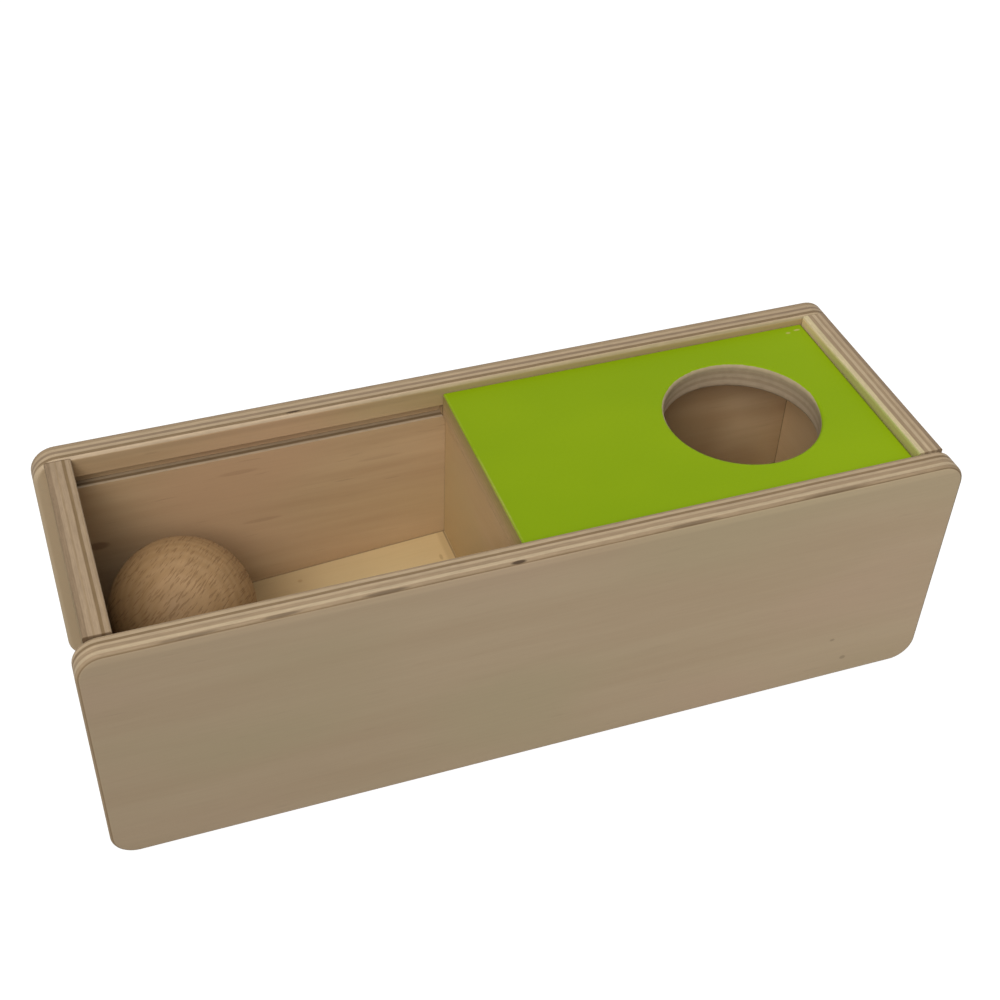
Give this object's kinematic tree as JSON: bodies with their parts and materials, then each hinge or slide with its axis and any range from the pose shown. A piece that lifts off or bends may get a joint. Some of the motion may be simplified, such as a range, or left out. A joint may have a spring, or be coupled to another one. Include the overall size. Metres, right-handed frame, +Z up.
{
  "type": "object permanence box",
  "caption": "Plywood toy box with sloping floors, an open compartment, a painted sliding lid with a round ball hole, and a loose wooden ball that rolls to the low end.",
  "frame": {"origin": "middle of the box's base, on the surface that it stands on", "axes": "+X along the length towards the closed lid, +Y to the rear panel, +Z up"},
  "size_m": [0.3, 0.102, 0.095],
  "materials": {
    "plywood": "satin clear varnish",
    "ramp_plywood": "satin clear varnish",
    "green_plywood": "satin paint on the top, bare plywood below",
    "beech": "fine sanded, oiled",
    "dowel_beech": "raw"
  },
  "bodies": {
    "box": {"front_panel": "plywood", "rear_panel": "plywood", "left_end_panel": "plywood", "right_end_panel": "plywood", "divider": "plywood", "left_ramp": "ramp_plywood", "right_ramp": "ramp_plywood", "left_end_dowels": "dowel_beech", "right_end_dowels": "dowel_beech", "divider_dowels": "dowel_beech"},
    "lid": {"sliding_lid": "green_plywood"},
    "ball": {"ball": "beech"}
  },
  "joints": [
    {"name": "lid_slide", "type": "slide", "parent": "box", "child": "lid", "axis": [-1, 0, 0], "range_m": [0, 0.1307]},
    {"name": "ball_roll", "type": "slide", "parent": "box", "child": "ball", "axis": [0.9976, 0, 0.0698], "range_m": [0, 0.0794]}
  ]
}
